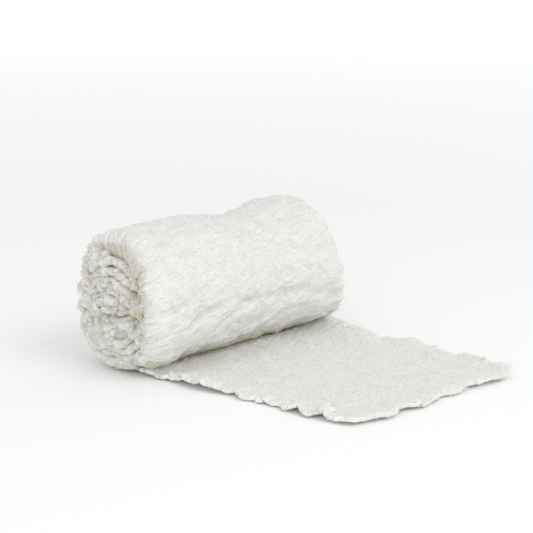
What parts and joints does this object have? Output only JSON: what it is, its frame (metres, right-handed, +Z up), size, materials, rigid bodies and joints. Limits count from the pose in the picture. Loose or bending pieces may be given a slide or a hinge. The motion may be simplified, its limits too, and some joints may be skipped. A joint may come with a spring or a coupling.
{
  "type": "gauze bandage roll",
  "caption": "Soft crinkle-weave gauze strip wound into a roll that lies on its side, with its loose end laid out flat in front.",
  "frame": {"origin": "on the flat underside, straight below the roll's axis, half way across the loose end", "axes": "+X along the loose end and away from the roll, +Y along the roll's axis, +Z up"},
  "size_m": [0.1623, 0.133, 0.0652],
  "materials": {
    "white_gauze": "matte, soft and fuzzy crinkled cotton gauze, slightly warm white"
  },
  "bodies": {
    "root": {"gauze_bandage": "white_gauze"}
  },
  "joints": []
}
